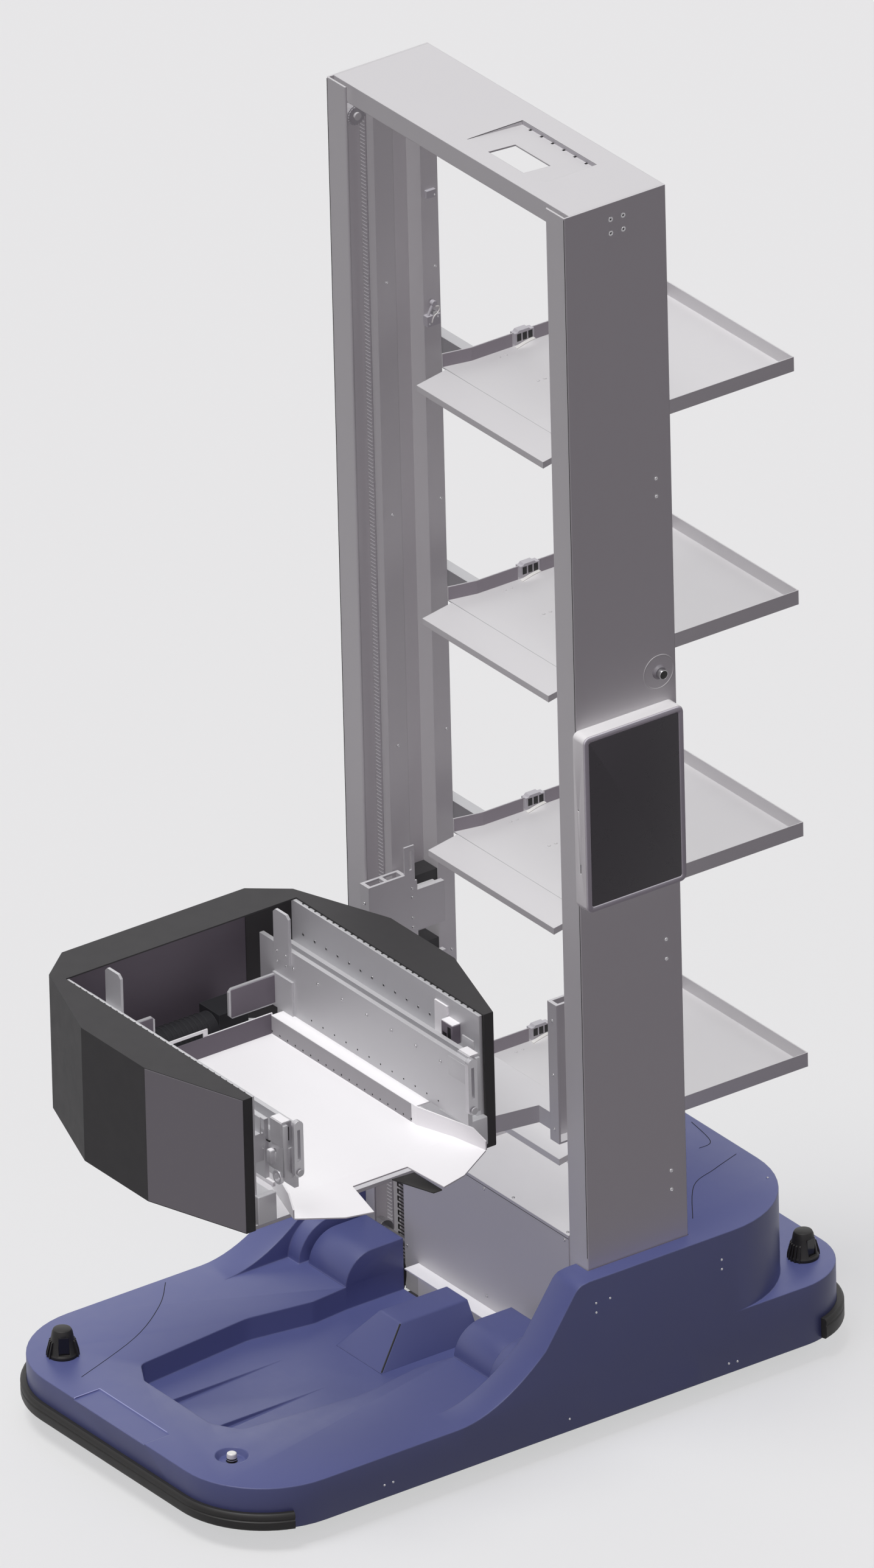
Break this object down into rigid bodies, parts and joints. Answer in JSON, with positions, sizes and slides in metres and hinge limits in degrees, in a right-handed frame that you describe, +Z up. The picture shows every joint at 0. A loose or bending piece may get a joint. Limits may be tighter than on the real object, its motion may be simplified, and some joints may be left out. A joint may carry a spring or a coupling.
{
  "type": "autonomous mobile robot",
  "caption": "Wheeled case-handling robot with a tall two-column mast, shelf trays, a lift carriage and a turning fork with telescopic arms.",
  "frame": {"origin": "on the floor, at the middle of the overall length and of the base's width, which is 10 mm from the middle of the overall width", "axes": "+Z up, +X toward the storage trays at the rear, +Y toward the far side, away from the tablet"},
  "size_m": [1.552, 0.9066, 2.663],
  "materials": {
    "frame_steel": "satin",
    "cover_plastic": "matte",
    "black_plastic": "matte",
    "sheet_steel": "satin",
    "battery_case": "satin",
    "column_aluminium": "satin",
    "beam_steel": "satin",
    "belt_rubber": "matte",
    "motor_steel": "satin",
    "tray_steel": "satin",
    "case_plastic": "gloss",
    "screen_glass": "gloss",
    "tread": "matte",
    "bright_steel": "satin",
    "carriage_aluminium": "satin",
    "shroud_paint": "satin",
    "fork_white": "satin",
    "arm_aluminium": "satin",
    "finger_steel": "satin"
  },
  "bodies": {
    "base": {"chassis_frame": "frame_steel", "wheel_mounts": "frame_steel", "base_cover": "cover_plastic", "sensor_hood": "cover_plastic", "front_bumper": "black_plastic", "rear_bumper": "black_plastic", "scanner_front": "black_plastic", "scanner_rear": "black_plastic", "cable_chain": "black_plastic", "button_bezel": "black_plastic", "limit_switches": "black_plastic", "tray_sensors": "black_plastic", "sill_plate": "sheet_steel", "cabinet": "sheet_steel", "cabinet_baffle": "sheet_steel", "tray_crossbars": "sheet_steel", "battery": "battery_case", "control_unit": "battery_case", "column_far": "column_aluminium", "column_near": "column_aluminium", "top_beam": "beam_steel", "lift_belts": "belt_rubber", "lift_motor": "motor_steel", "storage_tray_1": "tray_steel", "storage_tray_2": "tray_steel", "storage_tray_3": "tray_steel", "storage_tray_4": "tray_steel", "tablet_case": "case_plastic", "tablet_screen": "screen_glass"},
    "lift": {"carriage_frame": "carriage_aluminium", "guide_shoes": "black_plastic", "turn_ring": "bright_steel", "turn_motor": "motor_steel"},
    "fork": {"fork_base": "carriage_aluminium", "fork_shroud": "shroud_paint", "fork_tray": "fork_white", "extend_motor": "motor_steel", "arm_plate_far": "arm_aluminium", "arm_plate_near": "arm_aluminium"},
    "deck_button": {"deck_button": "black_plastic"},
    "column_button": {"column_button": "black_plastic"},
    "drive_wheel_far": {"drive_wheel_far": "tread"},
    "drive_wheel_near": {"drive_wheel_near": "tread"},
    "idler_far": {"idler_far": "bright_steel"},
    "idler_near": {"idler_near": "bright_steel"},
    "drive_shaft": {"drive_shaft": "bright_steel"},
    "caster_yoke_front_far": {"caster_yoke_front_far": "bright_steel"},
    "caster_yoke_front_near": {"caster_yoke_front_near": "bright_steel"},
    "caster_yoke_rear_far": {"caster_yoke_rear_far": "bright_steel"},
    "caster_yoke_rear_near": {"caster_yoke_rear_near": "bright_steel"},
    "caster_wheel_front_far": {"caster_wheel_front_far": "tread"},
    "caster_wheel_front_near": {"caster_wheel_front_near": "tread"},
    "caster_wheel_rear_far": {"caster_wheel_rear_far": "tread"},
    "caster_wheel_rear_near": {"caster_wheel_rear_near": "tread"},
    "arm_mid_far": {"arm_mid_far": "arm_aluminium"},
    "arm_inner_far": {"arm_inner_far": "arm_aluminium"},
    "tip_finger_far": {"tip_finger_far": "finger_steel"},
    "arm_mid_near": {"arm_mid_near": "arm_aluminium"},
    "arm_inner_near": {"arm_inner_near": "arm_aluminium"},
    "tip_finger_near": {"tip_finger_near": "finger_steel"}
  },
  "joints": [
    {"name": "lift_slide", "type": "slide", "parent": "base", "child": "lift", "axis": [0, 0, 1], "range_m": [-0.196, 1.342]},
    {"name": "fork_turn", "type": "hinge", "parent": "lift", "child": "fork", "pos_m": [-0.368, 0, 0.66], "axis": [0, 0, 1], "range_deg": [0, 180]},
    {"name": "arm_mid_far_slide", "type": "slide", "parent": "fork", "child": "arm_mid_far", "axis": [0, -1, 0], "range_m": [0, 0.38]},
    {"name": "arm_inner_far_slide", "type": "slide", "parent": "arm_mid_far", "child": "arm_inner_far", "axis": [0, -1, 0], "range_m": [0, 0.38]},
    {"name": "finger_far_turn", "type": "hinge", "parent": "arm_inner_far", "child": "tip_finger_far", "pos_m": [-0.159, -0.387, 0.795], "axis": [0, -1, 0], "range_deg": [0, 90]},
    {"name": "arm_mid_near_slide", "type": "slide", "parent": "fork", "child": "arm_mid_near", "axis": [0, -1, 0], "range_m": [0, 0.38]},
    {"name": "arm_inner_near_slide", "type": "slide", "parent": "arm_mid_near", "child": "arm_inner_near", "axis": [0, -1, 0], "range_m": [0, 0.38]},
    {"name": "finger_near_turn", "type": "hinge", "parent": "arm_inner_near", "child": "tip_finger_near", "pos_m": [-0.577, -0.387, 0.795], "axis": [0, 1, 0], "range_deg": [0, 90]},
    {"name": "drive_wheel_far_spin", "type": "hinge", "parent": "base", "child": "drive_wheel_far", "pos_m": [0.015, 0.246, 0.088], "axis": [0, 1, 0], "continuous": true},
    {"name": "idler_far_spin", "type": "hinge", "parent": "base", "child": "idler_far", "pos_m": [0.14, 0.358, 2.585], "axis": [0, 1, 0], "range_deg": [-3600, 540]},
    {"name": "drive_wheel_near_spin", "type": "hinge", "parent": "base", "child": "drive_wheel_near", "pos_m": [0.015, -0.246, 0.088], "axis": [0, 1, 0], "continuous": true},
    {"name": "idler_near_spin", "type": "hinge", "parent": "base", "child": "idler_near", "pos_m": [0.14, -0.358, 2.585], "axis": [0, 1, 0], "range_deg": [-3600, 540]},
    {"name": "drive_shaft_spin", "type": "hinge", "parent": "base", "child": "drive_shaft", "pos_m": [0.14, 0, 0.122], "axis": [0, 1, 0], "range_deg": [-3600, 540]},
    {"name": "caster_front_far_swivel", "type": "hinge", "parent": "base", "child": "caster_yoke_front_far", "pos_m": [-0.56, 0.3, 0.1], "axis": [0, 0, 1], "continuous": true},
    {"name": "caster_front_far_spin", "type": "hinge", "parent": "caster_yoke_front_far", "child": "caster_wheel_front_far", "pos_m": [-0.536, 0.3, 0.0375], "axis": [0, 1, 0], "continuous": true},
    {"name": "caster_front_near_swivel", "type": "hinge", "parent": "base", "child": "caster_yoke_front_near", "pos_m": [-0.56, -0.3, 0.1], "axis": [0, 0, 1], "continuous": true},
    {"name": "caster_front_near_spin", "type": "hinge", "parent": "caster_yoke_front_near", "child": "caster_wheel_front_near", "pos_m": [-0.536, -0.3, 0.0375], "axis": [0, 1, 0], "continuous": true},
    {"name": "caster_rear_far_swivel", "type": "hinge", "parent": "base", "child": "caster_yoke_rear_far", "pos_m": [0.54, 0.3, 0.1], "axis": [0, 0, 1], "continuous": true},
    {"name": "caster_rear_far_spin", "type": "hinge", "parent": "caster_yoke_rear_far", "child": "caster_wheel_rear_far", "pos_m": [0.564, 0.3, 0.0375], "axis": [0, 1, 0], "continuous": true},
    {"name": "caster_rear_near_swivel", "type": "hinge", "parent": "base", "child": "caster_yoke_rear_near", "pos_m": [0.54, -0.3, 0.1], "axis": [0, 0, 1], "continuous": true},
    {"name": "caster_rear_near_spin", "type": "hinge", "parent": "caster_yoke_rear_near", "child": "caster_wheel_rear_near", "pos_m": [0.564, -0.3, 0.0375], "axis": [0, 1, 0], "continuous": true},
    {"name": "deck_button_press", "type": "slide", "parent": "base", "child": "deck_button", "axis": [0, 0, -1], "range_m": [0, 0.003], "stiffness_N_per_m": 600, "springref_m": -0.003},
    {"name": "column_button_press", "type": "slide", "parent": "base", "child": "column_button", "axis": [0, 1, 0], "range_m": [0, 0.003], "stiffness_N_per_m": 600, "springref_m": -0.003}
  ],
  "couplings": [
    {"joint": "arm_inner_far_slide", "follows": "arm_mid_far_slide", "ratio": 1},
    {"joint": "arm_mid_near_slide", "follows": "arm_mid_far_slide", "ratio": 1},
    {"joint": "arm_inner_near_slide", "follows": "arm_mid_far_slide", "ratio": 1},
    {"joint": "idler_far_spin", "follows": "lift_slide", "rad_per_m": -46.51},
    {"joint": "idler_near_spin", "follows": "lift_slide", "rad_per_m": -46.51},
    {"joint": "drive_shaft_spin", "follows": "lift_slide", "rad_per_m": -46.51}
  ]
}
